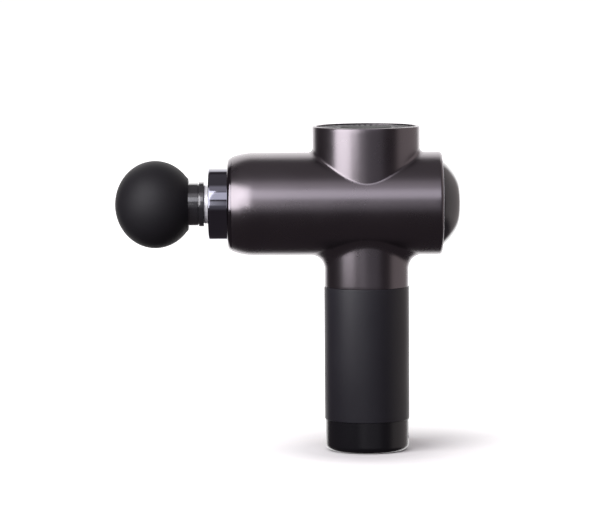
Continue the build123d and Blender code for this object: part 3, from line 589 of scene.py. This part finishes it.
# Panels of soft light around the object, as a photographer's studio has them: azimuth in degrees
# from the front, positive to the left, and elevation in degrees; then softness, strength, colour.
PANELS = (
    ("front_fill", (-36, 22), (-12, 12), (8, 6), 0.24, (0.97, 0.96, 1.05)),
    ("side_fill", (4, 20), (0, 14), (4, 4), 1.5, (1.0, 0.985, 1.02)),
    ("front_box", (-32, 30), (19, 42), (6, 2), 2.3, (0.97, 0.96, 1.05)),
    ("upper_front", (-40, 30), (43, 64), (8, 6), 0.80, (1.0, 0.96, 1.04)),
    ("right_fill", (-142, -70), (-25, 50), (7, 10), 0.50, (1.06, 0.97, 0.95)),
    ("back_left", (146, 200), (-35, 46), (8, 6), 1.9, (1.0, 0.99, 0.99)),
    ("back_right", (-200, -146), (-35, 46), (8, 6), 1.9, (1.0, 0.99, 0.99)),
    ("ceiling", (-200, 200), (62, 100), (1, 8), 0.14, (1.0, 0.97, 1.0)),
)


SURROUND = (0.085, 0.070, 0.080)
BACKDROP_WHITE = 1.05


def make_studio_light():
    """The world: soft panels on a dim surround, and plain white where the camera looks past."""
    world = bpy.data.worlds.new("studio")
    bpy.context.scene.world = world
    world.use_nodes = True
    tree = world.node_tree
    tree.nodes.clear()
    place = tree.nodes.new("ShaderNodeTexCoord")
    split = tree.nodes.new("ShaderNodeSeparateXYZ")
    tree.links.new(place.outputs["Generated"], split.inputs["Vector"])
    # Azimuth is 0 towards -Y and positive towards -X.
    azimuth = tree.nodes.new("ShaderNodeMath")
    azimuth.operation = "ARCTAN2"
    tree.links.new(product(tree, split.outputs["X"], -1.0), azimuth.inputs[0])
    tree.links.new(product(tree, split.outputs["Y"], -1.0), azimuth.inputs[1])
    degrees = product(tree, azimuth.outputs[0], 180 / math.pi)
    rise = tree.nodes.new("ShaderNodeMath")
    rise.operation = "ARCSINE"
    tree.links.new(split.outputs["Z"], rise.inputs[0])
    elevation = product(tree, rise.outputs[0], 180 / math.pi)
    total = None
    for name, turn, height, soft, strength, colour in PANELS:
        mask = product(tree, window(tree, degrees, *turn, soft[0]),
                       window(tree, elevation, *height, soft[1]))
        scaled = tree.nodes.new("ShaderNodeVectorMath")
        scaled.operation = "SCALE"
        scaled.label = name
        scaled.inputs[0].default_value = [c * strength for c in colour]
        tree.links.new(mask, scaled.inputs["Scale"])
        if total is None:
            total = scaled.outputs["Vector"]
            continue
        joined = tree.nodes.new("ShaderNodeVectorMath")
        joined.operation = "ADD"
        tree.links.new(total, joined.inputs[0])
        tree.links.new(scaled.outputs["Vector"], joined.inputs[1])
        total = joined.outputs["Vector"]
    surround = tree.nodes.new("ShaderNodeVectorMath")
    surround.operation = "ADD"
    surround.inputs[1].default_value = SURROUND
    tree.links.new(total, surround.inputs[0])
    lit = tree.nodes.new("ShaderNodeBackground")
    tree.links.new(surround.outputs["Vector"], lit.inputs["Color"])
    white = node(tree, "ShaderNodeBackground", Color=(1, 1, 1, 1), Strength=BACKDROP_WHITE)
    path = tree.nodes.new("ShaderNodeLightPath")
    mix = tree.nodes.new("ShaderNodeMixShader")
    tree.links.new(path.outputs["Is Camera Ray"], mix.inputs[0])
    tree.links.new(lit.outputs[0], mix.inputs[1])
    tree.links.new(white.outputs[0], mix.inputs[2])
    out = tree.nodes.new("ShaderNodeOutputWorld")
    tree.links.new(mix.outputs[0], out.inputs["Surface"])


def make_soft_box(name, azimuth, half_span, heights, radiance, colour):
    """An upright area light that stands to one side of the gun and faces it. Azimuth and half
    the width are in degrees, seen from the handle's axis."""
    distance = 0.40
    turn = math.radians(azimuth)
    data = bpy.data.lights.new(name, "AREA")
    data.shape = "RECTANGLE"
    data.size = 2 * distance * math.tan(math.radians(half_span))
    data.size_y = heights[1] - heights[0]
    data.energy = radiance * math.pi * data.size * data.size_y
    data.color = colour
    light = bpy.data.objects.new(name, data)
    bpy.context.scene.collection.objects.link(light)
    light.location = (-distance * math.sin(turn), -distance * math.cos(turn), sum(heights) / 2)
    light.rotation_euler = (math.pi / 2, 0.0, -turn)
    return light


def make_floor():
    """A white floor with a painted glow: its emission is zero near the gun and rises with
    distance to full, so the cast shadow shows only close to the gun and the floor is plain white
    beyond.
    """
    painted_glow_start, painted_glow_full = 0.035, 0.14
    size = 6.0
    mesh = bpy.data.meshes.new("floor")
    mesh.from_pydata([(-size, -size, 0), (size, -size, 0), (size, size, 0), (-size, size, 0)],
                     [], [(0, 1, 2, 3)])
    floor = new_object("floor", mesh)
    material, tree, shader = new_material("floor_painted_glow")
    shader.inputs["Base Color"].default_value = (0.86, 0.85, 0.84, 1)
    shader.inputs["Roughness"].default_value = 0.9
    shader.inputs["Specular IOR Level"].default_value = 0.0
    # Painted glow: the floor emits light by its distance from the gun, none near it and more
    # further out, which fades the shadow to plain white.
    shader.inputs["Emission Color"].default_value = (1, 1, 1, 1)
    place = tree.nodes.new("ShaderNodeTexCoord")
    reach = tree.nodes.new("ShaderNodeVectorMath")
    reach.operation = "LENGTH"
    tree.links.new(place.outputs["Object"], reach.inputs[0])
    tree.links.new(between(tree, reach.outputs["Value"], 0.0, 0.85, painted_glow_start, painted_glow_full),
                   shader.inputs["Emission Strength"])
    mesh.materials.append(material)
    floor.visible_glossy = False
    floor.visible_diffuse = False
    return floor


def make_camera():
    """A long lens in front of the gun, a little above it, looking slightly down."""
    data = bpy.data.cameras.new("camera")
    camera = bpy.data.objects.new("camera", data)
    bpy.context.scene.collection.objects.link(camera)
    data.sensor_width = 36.0
    data.lens = 217.0
    distance = 2.074
    elevation = math.radians(5.3)
    roll = math.radians(0.35)
    aim = Vector((-0.0370, 0.0, 0.1076))
    away = Vector((0.0, -math.cos(elevation), math.sin(elevation)))
    camera.location = aim + away * distance
    camera.rotation_euler = (math.pi / 2 - elevation, roll, 0.0)
    data.clip_end = 30.0
    bpy.context.scene.camera = camera


# ---------------------------------------------------------------- build

dress_cad_nodes()
make_barrel()
make_motor_shell()
make_neck_shell()
make_nose()
make_collar()
make_stem()
make_ball()
make_grip()
make_floor()
make_soft_box("key_light", 51, 18, (0.101, 0.55), 6.2, (0.98, 0.966, 1.0))
make_soft_box("side_light", 25.5, 7.5, (0.148, 0.55), 4.3, (0.98, 0.966, 1.0))
make_studio_light()
make_camera()
bpy.context.scene.view_settings.view_transform = "Standard"
